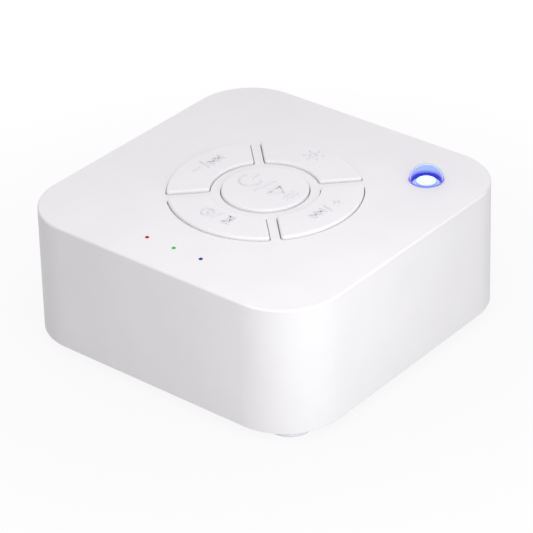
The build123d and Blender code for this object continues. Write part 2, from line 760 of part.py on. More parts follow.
with BuildPart() as night_light_lens:
    with BuildSketch(Plane(origin=lens_foot, x_dir=(1, 0, 0), z_dir=(0, -1, 0))):
        with BuildLine():
            inner_radius = lens_radius - lens_wall
            inner_height = lens_height - lens_wall
            lens_floor = top_underside - lens_flange_thickness
            outer_arc = RadiusArc(
                (lens_radius, case_top),
                (0, case_top + lens_height),
                -dome_radius(lens_radius, lens_height),
            )
            Line(outer_arc @ 0, (lens_radius, top_underside))
            Line((lens_radius, top_underside), (lens_flange_radius, top_underside))
            Line((lens_flange_radius, top_underside), (lens_flange_radius, lens_floor))
            Line((lens_flange_radius, lens_floor), (inner_radius, lens_floor))
            Line((inner_radius, lens_floor), (inner_radius, case_top))
            inner_arc = RadiusArc(
                (inner_radius, case_top),
                (0, case_top + inner_height),
                -dome_radius(inner_radius, inner_height),
            )
            Line(inner_arc @ 1, outer_arc @ 1)
        make_face()
    revolve(axis=Axis(lens_foot, (0, 0, 1)))
save(night_light_lens.part, "night_light_lens")

led_top = case_top - led_drop
led_bottom = led_top - led_height
with BuildPart() as night_light_led:
    with BuildSketch(Plane.XY.offset(led_bottom)):
        with Locations((night_light_offset, night_light_offset)):
            Circle(led_flange_radius)
    extrude(amount=led_flange_thickness)
    with BuildSketch(Plane.XY.offset(led_bottom)):
        with Locations((night_light_offset, night_light_offset)):
            Circle(led_radius)
    extrude(amount=led_height)
    fillet(night_light_led.edges().group_by(Axis.Z)[-1], led_edge_radius)
    with BuildSketch(Plane.XY.offset(board_bottom - led_leg_tail)):
        with Locations(*led_leg_places):
            Circle(led_leg_radius)
    extrude(amount=led_bottom - board_bottom + led_leg_tail)
save(night_light_led.part, "night_light_led")

holder_top = case_top - holder_drop
holder_step = led_bottom + led_flange_thickness + holder_gap
with BuildPart() as night_light_holder:
    with BuildSketch(Plane.XY.offset(board_top)):
        with Locations((night_light_offset, night_light_offset)):
            Circle(holder_radius)
            Circle(led_radius + holder_gap, mode=Mode.SUBTRACT)
    extrude(amount=holder_top - board_top)
    with BuildSketch(Plane.XY.offset(board_top)):
        with Locations((night_light_offset, night_light_offset)):
            Circle(led_flange_radius + holder_gap)
    extrude(amount=holder_step - board_top, mode=Mode.SUBTRACT)
save(night_light_holder.part, "night_light_holder")

# --- Indicator lights: a light pipe over a chip lamp, three times -----------------------------
pipe_bottom = board_top + chip_led_size[2] + chip_led_gap
for colour, pipe_place in zip(("red", "green", "blue"), indicator_places):
    with BuildPart() as light_pipe:
        with BuildSketch(Plane.XY.offset(pipe_bottom)):
            with Locations(pipe_place):
                Circle(pipe_radius)
        extrude(amount=top_underside - pipe_bottom)
        with BuildSketch(Plane.XY.offset(top_underside)):
            with Locations(pipe_place):
                Circle(indicator_radius)
        extrude(amount=top_wall)
    save(light_pipe.part, f"{colour}_light_pipe")

with BuildPart() as indicator_leds:
    with BuildSketch(Plane.XY.offset(board_top)):
        with Locations(*indicator_places):
            Rectangle(chip_led_size[0], chip_led_size[1])
    extrude(amount=chip_led_size[2])
save(indicator_leds.part, "indicator_leds")

# --- Speaker ----------------------------------------------------------------------------------
coil_radius = pole_radius + magnetic_gap / 2
speaker_step_radius = speaker_radius - speaker_flange_width
speaker_rim_radius = speaker_step_radius - speaker_step_width
cone_outer_radius = speaker_rim_radius - surround_width
plate_bore_radius = pole_radius + magnetic_gap
plate_radius = plate_bore_radius + plate_width
magnet_bore_radius = plate_bore_radius + magnet_bore_margin
magnet_radius = magnet_bore_radius + magnet_width
basket_back_radius = plate_radius + plate_margin
basket_mouth = speaker_face + speaker_step + speaker_sheet
with BuildPart() as speaker_frame:
    with BuildSketch(Plane.XZ):
        with BuildLine():
            Polyline(
                (speaker_rim_radius, speaker_face + speaker_step),
                (speaker_step_radius, speaker_face + speaker_step),
                (speaker_step_radius, speaker_face),
                (speaker_radius, speaker_face),
                (speaker_radius, speaker_face + speaker_sheet),
                (speaker_step_radius + speaker_sheet, speaker_face + speaker_sheet),
                (basket_back_radius, basket_back),
                (magnet_bore_radius, basket_back),
                (magnet_bore_radius, basket_back - speaker_sheet),
                (basket_back_radius - speaker_sheet, basket_back - speaker_sheet),
                (speaker_step_radius, basket_mouth),
                (speaker_rim_radius, basket_mouth),
                close=True,
            )
        make_face()
    revolve(axis=Axis.Z)
    with BuildSketch(Plane.XY.offset(speaker_face)):
        with Locations(*speaker_lug_places):
            Circle(speaker_lug_radius)
        Circle(speaker_radius - speaker_sheet, mode=Mode.SUBTRACT)
        with Locations(*speaker_lug_places):
            Circle(speaker_screw_radius + screw_gap / 2, mode=Mode.SUBTRACT)
    extrude(amount=speaker_sheet)
    basket_window = ring_sector(
        basket_back_radius + speaker_sheet,
        speaker_step_radius - speaker_sheet,
        basket_spoke_width,
        basket_window_corner,
    )
    with BuildSketch(Plane.XY.offset(basket_mouth)):
        for quarter in range(4):
            add(basket_window.rotate(Axis.Z, 45 + 90 * quarter))
    extrude(amount=basket_back - speaker_sheet - basket_mouth, mode=Mode.SUBTRACT)
save(speaker_frame.part, "speaker_frame")


def ring(name, inner_radius, outer_radius, bottom, top):
    """A flat ring about the speaker's axis."""
    with BuildPart() as washer:
        with BuildSketch(Plane.XY.offset(bottom)):
            Circle(outer_radius)
            Circle(inner_radius, mode=Mode.SUBTRACT)
        extrude(amount=top - bottom)
    save(washer.part, name)


cone_neck_radius = coil_radius + coil_wall
ring("speaker_top_plate", plate_bore_radius, plate_radius, basket_back, plate_top)
ring("speaker_magnet", magnet_bore_radius, magnet_radius, plate_top, magnet_top)
ring(
    "speaker_gasket", gasket_outer_radius - gasket_width, gasket_outer_radius,
    cover_top + gasket_seat_height, speaker_face,
)
ring(
    "speaker_spider", cone_neck_radius, basket_back_radius - spider_margin,
    basket_back - speaker_sheet - cone_thickness, basket_back - speaker_sheet,
)

with BuildPart() as speaker_yoke:
    with BuildSketch(Plane.XY.offset(magnet_top)):
        Circle(magnet_radius - yoke_margin)
    extrude(amount=yoke_thickness)
    chamfer(speaker_yoke.edges().group_by(Axis.Z)[-1], yoke_thickness / 4)
    with BuildSketch(Plane.XY.offset(basket_back)):
        Circle(pole_radius)
    extrude(amount=magnet_top - basket_back)
save(speaker_yoke.part, "speaker_yoke")

cone_neck = basket_back - speaker_sheet - 4 * cone_thickness
cone_mouth = speaker_face + speaker_step + cone_thickness
ring(
    "voice_coil", coil_radius - coil_wall / 2, coil_radius + coil_wall / 2,
    cone_neck, cone_neck + coil_length,
)

with BuildPart() as speaker_cone:
    with BuildSketch(Plane.XZ):
        with BuildLine():
            middle_radius = (cone_neck_radius + cone_outer_radius) / 2
            middle_height = cone_mouth + cone_curve * (cone_neck - cone_mouth)
            front = ThreePointArc(
                (cone_neck_radius, cone_neck),
                (middle_radius, middle_height),
                (cone_outer_radius, cone_mouth),
            )
            back = ThreePointArc(
                (cone_neck_radius, cone_neck + cone_thickness),
                (middle_radius, middle_height + cone_thickness),
                (cone_outer_radius, cone_mouth + cone_thickness),
            )
            Line(front @ 0, back @ 0)
            Line(front @ 1, back @ 1)
        make_face()
    revolve(axis=Axis.Z)
save(speaker_cone.part, "speaker_cone")

with BuildPart() as speaker_surround:
    with BuildSketch(Plane.XZ):
        with BuildLine():
            roll_middle = (cone_outer_radius + speaker_rim_radius) / 2
            rim_level = speaker_face
            edge_level = cone_mouth - cone_thickness
            rim_edge = speaker_step_radius - seat_gap
            roll_front = ThreePointArc(
                (cone_outer_radius, edge_level), (roll_middle, rim_level - surround_roll / 2),
                (speaker_rim_radius, rim_level),
            )
            roll_back = ThreePointArc(
                (cone_outer_radius, cone_mouth),
                (roll_middle, rim_level - surround_roll / 2 + cone_thickness),
                (speaker_rim_radius, rim_level + speaker_step),
            )
            Polyline(
                roll_front @ 1, (rim_edge, rim_level), (rim_edge, rim_level + speaker_step), roll_back @ 1
            )
            Polyline(
                roll_front @ 0,
                (cone_outer_radius - surround_glue_width, edge_level),
                (cone_outer_radius - surround_glue_width, cone_mouth),
                roll_back @ 0,
            )
        make_face()
    revolve(axis=Axis.Z)
save(speaker_surround.part, "speaker_surround")

with BuildPart() as speaker_dust_cap:
    with BuildSketch(Plane.XZ):
        with BuildLine():
            cap_rim = cone_neck - cone_thickness
            cap_height = cone_neck_radius / 3
            cap_middle = cap_bulge * cone_neck_radius
            front = ThreePointArc(
                (0, cap_rim - cap_height),
                (cap_middle, cap_rim - cap_height / 2),
                (cone_neck_radius, cap_rim),
            )
            back = ThreePointArc(
                (0, cap_rim - cap_height + cone_thickness),
                (cap_middle, cap_rim - cap_height / 2 + cone_thickness),
                (cone_neck_radius, cap_rim + cone_thickness),
            )
            Line(front @ 0, back @ 0)
            Line(front @ 1, back @ 1)
        make_face()
    revolve(axis=Axis.Z)
save(speaker_dust_cap.part, "speaker_dust_cap")

terminal_x = speaker_radius - seat_gap + terminal_size[0] / 2 - terminal_lap
with BuildPart() as speaker_terminal:
    with BuildSketch(Plane.XY.offset(speaker_face + speaker_sheet)):
        with Locations((terminal_x, 0)):
            Rectangle(terminal_size[0], terminal_size[1])
    extrude(amount=terminal_size[2])
save(speaker_terminal.part, "speaker_terminal")

screw(
    "speaker_screws", speaker_lug_places, speaker_face + speaker_sheet, -1, speaker_screw_radius,
    speaker_sheet + speaker_screw_length - pilot_spare, speaker_screw_head_radius,
    speaker_screw_head_height,
)

# --- Battery cell, its foam pad, and the leads ------------------------------------------------
with BuildPart() as battery_cell:
    with BuildSketch(Plane.YZ.offset(-cell_x_end)):
        with Locations((cell_y, cell_z)):
            Circle(cell_radius)
    extrude(amount=cell_length)
    fillet(battery_cell.edges().filter_by(GeomType.CIRCLE), cell_edge_radius)
save(battery_cell.part, "battery_cell")

with BuildPart() as battery_foam_pad:
    with BuildSketch(Plane.XY.offset(cell_z)):
        with Locations((0, cell_y)):
            Rectangle(foam_length, foam_width)
    extrude(amount=board_bottom - cell_z)
    with BuildSketch(Plane.YZ.offset(-foam_length)):
        with Locations((cell_y, cell_z)):
            Circle(cell_radius + pilot_gap)
    extrude(amount=2 * foam_length, mode=Mode.SUBTRACT)
save(battery_foam_pad.part, "battery_foam_pad")


def lead_pair(name, paths, bends):
    """Two insulated wires, each a run of straights and arcs through its own points."""
    with BuildPart() as leads:
        for points in paths:
            with BuildLine() as route:
                FilletPolyline(*points, radius=bends)
            with BuildSketch(Plane(origin=route.line @ 0, z_dir=route.line % 0)):
                Circle(lead_radius)
            sweep(path=route.line)
    save(leads.part, name)


connector_bottom = board_bottom - connector_size[2]
terminal_top = speaker_face + speaker_sheet + terminal_size[2]
speaker_lead_x = terminal_x + terminal_size[0] / 8
speaker_lead_paths = []
battery_lead_paths = []
for offset in (-lead_spacing / 2, lead_spacing / 2):
    speaker_lead_paths.append([
        (speaker_lead_x, offset, terminal_top),
        (speaker_lead_x, offset, terminal_top + lead_rise),
        (connector_x, speaker_connector_y + offset, connector_bottom - lead_drop),
        (connector_x, speaker_connector_y + offset, connector_bottom),
    ])
    battery_lead_paths.append([
        (cell_x_end, cell_y, cell_z + cell_lead_lift + offset),
        (cell_x_end + cell_lead_run, cell_y, cell_z + cell_lead_lift + offset),
        (connector_x + offset, battery_connector_y, connector_bottom - cell_lead_drop),
        (connector_x + offset, battery_connector_y, connector_bottom),
    ])
lead_pair("speaker_leads", speaker_lead_paths, lead_bend)
lead_pair("battery_leads", battery_lead_paths, cell_lead_bend)
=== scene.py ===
import bmesh
import bpy
import json
import math
import numpy as np
from mathutils import Matrix, Vector


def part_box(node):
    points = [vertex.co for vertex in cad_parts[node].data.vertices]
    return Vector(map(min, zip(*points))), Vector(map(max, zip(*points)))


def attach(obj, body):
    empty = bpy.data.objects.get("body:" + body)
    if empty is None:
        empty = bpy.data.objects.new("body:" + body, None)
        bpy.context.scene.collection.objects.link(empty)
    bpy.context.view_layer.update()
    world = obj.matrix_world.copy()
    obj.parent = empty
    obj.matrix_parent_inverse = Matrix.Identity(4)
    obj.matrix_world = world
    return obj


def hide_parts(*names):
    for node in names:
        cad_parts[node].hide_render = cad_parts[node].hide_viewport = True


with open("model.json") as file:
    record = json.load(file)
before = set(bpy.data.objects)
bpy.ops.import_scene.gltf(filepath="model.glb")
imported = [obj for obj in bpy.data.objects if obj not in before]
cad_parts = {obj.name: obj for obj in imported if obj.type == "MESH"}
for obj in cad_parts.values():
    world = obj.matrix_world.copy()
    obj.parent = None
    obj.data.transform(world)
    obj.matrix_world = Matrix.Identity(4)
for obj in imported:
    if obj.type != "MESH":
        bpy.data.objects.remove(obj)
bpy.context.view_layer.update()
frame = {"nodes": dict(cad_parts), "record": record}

# White noise sound machine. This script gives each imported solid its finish, and makes the night
# light's dome and lamp, the indicators' heads, the feet, the raised signs on the keys, the metal
# in the sockets' mouths, and the studio. Metres, +Z up; the front of the machine faces -Y.

MM = 0.001


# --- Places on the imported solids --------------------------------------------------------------
def middle_of(solid):
    """The middle of a solid's box."""
    low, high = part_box(solid)
    return (low + high) / 2


case_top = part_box("upper_case")[1].z
key_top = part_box("power_button")[1].z
holder_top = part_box("night_light_holder")[1].z
lens_low, lens_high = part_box("night_light_lens")
lens_middle = middle_of("night_light_lens")
lamp_low, lamp_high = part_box("night_light_led")
lit_top = case_top - 0.35 * MM  # the lamp's flat lit face


# --- Nodes of a finish ------------------------------------------------------------------------
def blank_finish(name):
    """A material with its node tree, its Principled shader and the coordinates of the piece."""
    material = bpy.data.materials.new(name)
    material.use_nodes = True
    tree = material.node_tree
    shader = tree.nodes["Principled BSDF"]
    place = tree.nodes.new("ShaderNodeTexCoord").outputs["Object"]
    return material, tree, shader, place


def set_sockets(node, values):
    """Constants on a node's own inputs, by the inputs' names."""
    for socket, value in values.items():
        node.inputs[socket].default_value = value


def noise(tree, place, size, detail=2.0, roughness=0.5, stretch=(1, 1, 1)):
    """Noise with features of about this size, in metres; stretch draws them out along an axis."""
    mapping = tree.nodes.new("ShaderNodeMapping")
    mapping.inputs["Scale"].default_value = [1 / (size * s) for s in stretch]
    texture = tree.nodes.new("ShaderNodeTexNoise")
    set_sockets(texture, {"Scale": 1.0, "Detail": detail, "Roughness": roughness})
    tree.links.new(place, mapping.inputs["Vector"])
    tree.links.new(mapping.outputs["Vector"], texture.inputs["Vector"])
    return texture.outputs["Fac"]


def remap(tree, value, low, high, to_low, to_high):
    """value from low..high carried to to_low..to_high, held at the ends."""
    node = tree.nodes.new("ShaderNodeMapRange")
    tree.links.new(value, node.inputs["Value"])
    set_sockets(node, {"From Min": low, "From Max": high, "To Min": to_low, "To Max": to_high})
    return node.outputs["Result"]


def below(tree, height, level, blur):
    """1 below a level and 0 above it, blurred over this height to either side."""
    return remap(tree, height, level - blur, level + blur, 1, 0)


def blend_colours(tree, factor, first, second):
    """The first colour where factor is 0 and the second where it is 1; either may be a link."""
    node = tree.nodes.new("ShaderNodeMix")
    node.data_type = "RGBA"
    tree.links.new(factor, node.inputs["Factor"])
    for socket, colour in zip(("A", "B"), (first, second)):
        target = [s for s in node.inputs if s.name == socket and s.type == "RGBA"][0]
        if isinstance(colour, bpy.types.NodeSocket):
            tree.links.new(colour, target)
        else:
            target.default_value = (*colour, 1)
    return [s for s in node.outputs if s.type == "RGBA"][0]


def arithmetic(tree, operation, first, second=None):
    """One operation on one or two values, each a link or a number."""
    node = tree.nodes.new("ShaderNodeMath")
    node.operation = operation
    for socket, value in zip(node.inputs, (first, second)):
        if isinstance(value, bpy.types.NodeSocket):
            tree.links.new(value, socket)
        elif value is not None:
            socket.default_value = value
    return node.outputs[0]


def split(tree, place):
    """The X, Y and Z of a place."""
    apart = tree.nodes.new("ShaderNodeSeparateXYZ")
    tree.links.new(place, apart.inputs[0])
    return apart.outputs


def from_point(tree, place, point):
    """Distance of each place from a point's upright axis, and the place's height."""
    x, y, height = split(tree, place)
    x = arithmetic(tree, "SUBTRACT", x, point[0])
    y = arithmetic(tree, "SUBTRACT", y, point[1])
    square = arithmetic(
        tree, "ADD", arithmetic(tree, "MULTIPLY", x, x), arithmetic(tree, "MULTIPLY", y, y)
    )
    return arithmetic(tree, "SQRT", square), height


def relief(tree, shader, height, depth):
    """A height of 0..1 becomes a bump that is this deep, in metres."""
    bump = tree.nodes.new("ShaderNodeBump")
    set_sockets(bump, {"Strength": 1.0, "Distance": depth})
    tree.links.new(height, bump.inputs["Height"])
    tree.links.new(bump.outputs["Normal"], shader.inputs["Normal"])


# --- Plain finishes ---------------------------------------------------------------------------
def moulded(name, colour, tint, roughness, grain, depth, sockets=None):
    """Moulded plastic or rubber: clouds of a second tint, an etched grain, and uneven gloss. The
    size and the depth of the grain are in millimetres."""
    material, tree, shader, place = blank_finish(name)
    clouds = noise(tree, place, 18 * MM, detail=3.0)
    shade = blend_colours(tree, remap(tree, clouds, 0.35, 0.65, 0, 1), colour, tint)
    tree.links.new(shade, shader.inputs["Base Color"])
    etched = noise(tree, place, grain * MM, roughness=0.6)
    rubbed = noise(tree, place, 7 * MM)
    gloss = remap(tree, rubbed, 0.3, 0.7, roughness - 0.03, roughness + 0.03)
    tree.links.new(gloss, shader.inputs["Roughness"])
    relief(tree, shader, etched, depth * MM)
    set_sockets(shader, sockets or {})
    return material


def drawn_metal(name, colour, tint, roughness, stretch):
    """Pressed or drawn metal: fine lines along one direction and a cloudy oxide tint."""
    material, tree, shader, place = blank_finish(name)
    clouds = noise(tree, place, 2.5 * MM, detail=3.0)
    shade = blend_colours(tree, remap(tree, clouds, 0.3, 0.7, 0, 1), colour, tint)
    tree.links.new(shade, shader.inputs["Base Color"])
    lines = noise(tree, place, 0.12 * MM, stretch=stretch)
    gloss = remap(tree, lines, 0.2, 0.8, roughness - 0.08, roughness + 0.1)
    tree.links.new(gloss, shader.inputs["Roughness"])
    relief(tree, shader, lines, 0.004 * MM)
    set_sockets(shader, {"Metallic": 1.0})
    return material


def woven(name, colour, tint, pitch, depth, roughness):
    """Cloth or pulp: threads every pitch along both directions, sin x * sin y, roughened by
    noise. Pitch and depth are in millimetres."""
    material, tree, shader, place = blank_finish(name)
    x, y, _ = split(tree, place)
    turns = 2 * math.pi / (pitch * MM)
    along = arithmetic(tree, "SINE", arithmetic(tree, "MULTIPLY", x, turns))
    across = arithmetic(tree, "SINE", arithmetic(tree, "MULTIPLY", y, turns))
    threads = remap(tree, arithmetic(tree, "MULTIPLY", along, across), -1, 1, 0, 1)
    fibre = noise(tree, place, 0.4 * MM, detail=4.0, roughness=0.7)
    height = arithmetic(tree, "ADD", arithmetic(tree, "MULTIPLY", threads, 0.6), fibre)
    shade = blend_colours(tree, remap(tree, height, 0.5, 1.3, 0, 1), colour, tint)
    tree.links.new(shade, shader.inputs["Base Color"])
    gloss = remap(tree, fibre, 0.3, 0.7, roughness - 0.08, roughness)
    tree.links.new(gloss, shader.inputs["Roughness"])
    relief(tree, shader, height, depth * MM)
    return material


WHITE = (0.86, 0.86, 0.86)
WHITE_TINT = (0.84, 0.84, 0.845)
SATIN = {"Specular IOR Level": 0.25}
# Colour, tint, roughness, grain and depth in millimetres, and other sockets.
MOULDED = {
    "case_plastic": (WHITE, WHITE_TINT, 0.5, 0.22, 0.006, {"Specular IOR Level": 0.3}),
    "cover_plastic": (WHITE, WHITE_TINT, 0.5, 0.3, 0.01),
    "key_plastic": (WHITE, WHITE_TINT, 0.48, 0.18, 0.004, SATIN),
    # The signs are the keys' white plastic painted grey, as painted shade on and round the raised
    # strokes.
    "sign_plastic_painted_shade": ((0.76, 0.76, 0.775), (0.74, 0.74, 0.755), 0.5, 0.18, 0.004, SATIN),
    # The feet's white is paler than the case's: partly the rubber's own colour, and partly
    # painted light that makes up for the shade under the machine.
    "foot_rubber": ((0.95, 0.94, 0.96), (0.92, 0.91, 0.93), 0.7, 0.35, 0.02),
    "guide_plastic": ((0.78, 0.78, 0.76), (0.75, 0.75, 0.74), 0.5, 0.3, 0.01),
    "switch_plastic": ((0.02, 0.02, 0.022), (0.035, 0.034, 0.033), 0.5, 0.15, 0.005),
    "plunger_plastic": ((0.03, 0.03, 0.032), (0.05, 0.048, 0.045), 0.38, 0.15, 0.004),
    "jack_plastic": ((0.03, 0.03, 0.032), (0.022, 0.022, 0.024), 0.42, 0.2, 0.006),
    "chip_plastic": ((0.025, 0.025, 0.027), (0.035, 0.034, 0.034), 0.62, 0.08, 0.008),
    "connector_nylon": (
        (0.80, 0.77, 0.68), (0.74, 0.71, 0.62), 0.45, 0.3, 0.006, {"Subsurface Weight": 0.1}
    ),
    "gasket_foam": ((0.035, 0.035, 0.038), (0.055, 0.054, 0.055), 0.92, 0.3, 0.12),
    "surround_rubber": ((0.02, 0.02, 0.021), (0.03, 0.03, 0.03), 0.55, 0.25, 0.01),
    "lead_insulation": ((0.45, 0.02, 0.015), (0.38, 0.018, 0.014), 0.4, 0.2, 0.004),
    "magnet_ferrite": ((0.045, 0.046, 0.05), (0.07, 0.07, 0.075), 0.6, 0.2, 0.02),
    "cell_sleeve": ((0.02, 0.12, 0.38), (0.018, 0.1, 0.33), 0.25, 1.2, 0.02),
    "terminal_laminate": ((0.28, 0.13, 0.05), (0.22, 0.10, 0.04), 0.5, 0.2, 0.01),
    "chip_lamp": ((0.85, 0.80, 0.55), (0.8, 0.74, 0.48), 0.3, 0.2, 0.004),
}
# Colour, tint, roughness, and how far the drawing lines run along each axis.
DRAWN = {
    "screw_steel": ((0.60, 0.60, 0.62), (0.48, 0.48, 0.5), 0.32, (1, 1, 1)),
    "socket_steel": ((0.68, 0.68, 0.70), (0.58, 0.58, 0.6), 0.28, (1, 8, 1)),
    "speaker_steel": ((0.5, 0.5, 0.52), (0.4, 0.4, 0.42), 0.38, (1, 1, 1)),
    "capacitor_can": ((0.62, 0.63, 0.65), (0.52, 0.53, 0.56), 0.3, (1, 1, 12)),
    "contact_gold": ((0.80, 0.56, 0.22), (0.72, 0.48, 0.18), 0.25, (1, 8, 1)),
    "mouth_nickel": ((0.70, 0.69, 0.66), (0.60, 0.59, 0.57), 0.25, (1, 1, 1)),
}
# Colour, tint, pitch and depth in millimetres, and roughness.
WOVEN = {
    "cone_paper": ((0.035, 0.033, 0.032), (0.075, 0.07, 0.066), 0.9, 0.05, 0.85),
    "spider_cloth": ((0.42, 0.26, 0.10), (0.60, 0.40, 0.18), 0.5, 0.08, 0.8),
}
finishes = {name: moulded(name, *look) for name, look in MOULDED.items()}
finishes |= {name: drawn_metal(name, *look) for name, look in DRAWN.items()}
finishes |= {name: woven(name, *look) for name, look in WOVEN.items()}


# --- Finishes of single pieces ----------------------------------------------------------------
def laminate_board(name):
    """Circuit board: a green mask over copper tracks, which run between rows of round pads."""
    material, tree, shader, place = blank_finish(name)
    bricks = tree.nodes.new("ShaderNodeTexBrick")
    set_sockets(bricks, {
        "Scale": 1.0, "Brick Width": 5.5 * MM, "Row Height": 1.4 * MM, "Mortar Size": 0.16 * MM,
        "Mortar Smooth": 0.1,
    })
    tree.links.new(place, bricks.inputs["Vector"])
    weave = noise(tree, place, 0.5 * MM, detail=1.0)
    mask = blend_colours(tree, weave, (0.008, 0.085, 0.03), (0.012, 0.11, 0.04))
    tracks = blend_colours(tree, bricks.outputs["Fac"], mask, (0.03, 0.19, 0.06))
    pads = tree.nodes.new("ShaderNodeTexVoronoi")
    set_sockets(pads, {"Scale": 1 / (3.9 * MM), "Randomness": 0.35})
    tree.links.new(place, pads.inputs["Vector"])
    pad = remap(tree, pads.outputs["Distance"], 0.1, 0.12, 1, 0)
    shade = blend_colours(tree, pad, tracks, (0.62, 0.60, 0.56))
    tree.links.new(shade, shader.inputs["Base Color"])
    tree.links.new(remap(tree, weave, 0.3, 0.7, 0.3, 0.38), shader.inputs["Roughness"])
    tree.links.new(pad, shader.inputs["Metallic"])
    relief(tree, shader, arithmetic(tree, "MAXIMUM", bricks.outputs["Fac"], pad), 0.03 * MM)
    return material


def wound_copper(name):
    """Enamelled wire: turns stacked along the speaker's axis, 0.24 mm apart."""
    material, tree, shader, place = blank_finish(name)
    _, _, height = split(tree, place)
    turns = arithmetic(tree, "MULTIPLY", height, 2 * math.pi / (0.24 * MM))
    wire = remap(tree, arithmetic(tree, "SINE", turns), -1, 1, 0, 1)
    shade = blend_colours(tree, wire, (0.30, 0.09, 0.03), (0.72, 0.30, 0.14))
    tree.links.new(shade, shader.inputs["Base Color"])
    tree.links.new(remap(tree, wire, 0, 1, 0.45, 0.28), shader.inputs["Roughness"])
    relief(tree, shader, wire, 0.06 * MM)
    set_sockets(shader, {"Metallic": 0.9})
    return material


def clear_lens_with_painted_glow(name):
    """Clear dome, light blue in its middle, with a painted lilac sheen towards its rim that
    follows the viewing angle, and a faint painted lilac glow all over. Round its foot a near
    black, opaque band glows lilac, and the skirt below that glows deep blue: painted light of the
    lamp inside, over painted shade."""
    material, tree, shader, place = blank_finish(name)
    _, _, height = split(tree, place)
    band = below(tree, height, case_top + 0.1 * MM, 0.05 * MM)
    skirt = below(tree, height, case_top - 0.3 * MM, 0.05 * MM)
    specks = noise(tree, place, 0.3 * MM)
    smooth = remap(tree, specks, 0.3, 0.7, 0.02, 0.05)
    dull = arithmetic(tree, "MULTIPLY", band, 0.6)
    tree.links.new(arithmetic(tree, "MAXIMUM", smooth, dull), shader.inputs["Roughness"])
    # Painted sheen: the glass turns from light blue to lilac towards its rim, by the viewing
    # angle.
    grazing = tree.nodes.new("ShaderNodeLayerWeight")
    set_sockets(grazing, {"Blend": 0.38})
    sheen = blend_colours(tree, grazing.outputs["Facing"], (0.62, 0.9, 1.0), (0.6, 0.45, 1.0))
    # Painted shade: round its foot the dome is near black and opaque.
    body = blend_colours(tree, band, sheen, (0.01, 0.0, 0.1))
    tree.links.new(body, shader.inputs["Base Color"])
    tree.links.new(remap(tree, band, 0, 1, 1, 0), shader.inputs["Transmission Weight"])
    # Painted light of the lamp inside: a lilac glow round the foot, a deep blue glow on the
    # skirt, and a faint lilac glow on the dome above.
    foot = blend_colours(tree, skirt, (0.40, 0.32, 1.0), (0.0, 0.0, 0.9))
    glow = blend_colours(tree, band, (0.45, 0.30, 1.0), foot)
    tree.links.new(glow, shader.inputs["Emission Color"])
    strength = remap(tree, band, 0, 1, 0.03, 0.7)
    strength = arithmetic(tree, "SUBTRACT", strength, arithmetic(tree, "MULTIPLY", skirt, 0.2))
    tree.links.new(strength, shader.inputs["Emission Strength"])
    set_sockets(shader, {"IOR": 1.22})
    return material


def lit_holder(name):
    """Moulded spacer round the lamp: its top glows lilac, painted light of the lamp, brightest
    nearest the lamp; the wall below it doesn't glow.
    """
    material = moulded(name, (0.80, 0.78, 0.9), (0.76, 0.74, 0.88), 0.5, 0.2, 0.005)
    tree = material.node_tree
    shader = tree.nodes["Principled BSDF"]
    place = tree.nodes.new("ShaderNodeTexCoord").outputs["Object"]
    # Painted light of the lamp on the spacer's top, fading away from the lamp's axis.
    distance, height = from_point(tree, place, lens_middle)
    lit = remap(tree, height, holder_top - 1.2 * MM, holder_top - 0.1 * MM, 0, 1)
    near = remap(tree, distance, 2.9 * MM, 4.3 * MM, 1.0, 0.6)
    tree.links.new(arithmetic(tree, "MULTIPLY", lit, near), shader.inputs["Emission Strength"])
    set_sockets(shader, {"Emission Color": (0.42, 0.36, 1.0, 1)})
    return material


def lit_lamp(name):
    """Lamp epoxy, lit: its flat top is white, and its rim and side are lilac."""
    material, tree, shader, place = blank_finish(name)
    distance, height = from_point(tree, place, lens_middle)
    haze = noise(tree, place, 0.6 * MM)
    rim = arithmetic(tree, "ADD", distance, arithmetic(tree, "MULTIPLY", haze, 0.1 * MM))
    outside = remap(tree, rim, 2.72 * MM, 2.92 * MM, 0, 1)
    low = remap(tree, height, lit_top - 0.8 * MM, lit_top - 0.3 * MM, 1, 0)
    lilac = arithmetic(tree, "MAXIMUM", outside, low)
    glow = blend_colours(tree, lilac, (0.93, 1.0, 1.0), (0.34, 0.27, 1.0))
    tree.links.new(glow, shader.inputs["Emission Color"])
    tree.links.new(remap(tree, lilac, 0, 1, 1.15, 0.9), shader.inputs["Emission Strength"])
    set_sockets(shader, {"Base Color": (0.5, 0.5, 0.6, 1), "Roughness": 0.3})
    return material


def light_pipe(name, colour, strength):
    """Dyed acrylic rod, lit from below and brightest at its tip."""
    material, tree, shader, place = blank_finish(name)
    _, _, height = split(tree, place)
    haze = noise(tree, place, 0.5 * MM)
    rise = remap(tree, height, case_top - 3 * MM, case_top, 0.25, 1.0)
    uneven = remap(tree, haze, 0.3, 0.7, strength, 1.15 * strength)
    tree.links.new(arithmetic(tree, "MULTIPLY", rise, uneven), shader.inputs["Emission Strength"])
    tree.links.new(remap(tree, haze, 0.3, 0.7, 0.4, 0.5), shader.inputs["Roughness"])
    dye = tuple(0.25 * part for part in colour)
    set_sockets(shader, {
        "Base Color": (*dye, 1), "Emission Color": (*colour, 1), "Specular IOR Level": 0.15,
    })
    return material


INDICATORS = {  # the light's colour and its strength
    "red": ((0.42, 0.008, 0.014), 0.75),
    "green": ((0.02, 0.58, 0.05), 0.6),
    "blue": ((0.01, 0.04, 0.44), 0.6),
}
finishes |= {
    "board_laminate": laminate_board("board_laminate"),
    "coil_copper": wound_copper("coil_copper"),
    "lens_clear": clear_lens_with_painted_glow("lens_clear"),
    "lamp_epoxy": lit_lamp("lamp_epoxy"),
    "holder_plastic": lit_holder("holder_plastic"),
}
finishes |= {f"pipe_{hue}": light_pipe(f"pipe_{hue}", *look) for hue, look in INDICATORS.items()}
for node in frame["nodes"].values():
    for material_slot in node.material_slots:
        material_slot.material = finishes[material_slot.material.name]


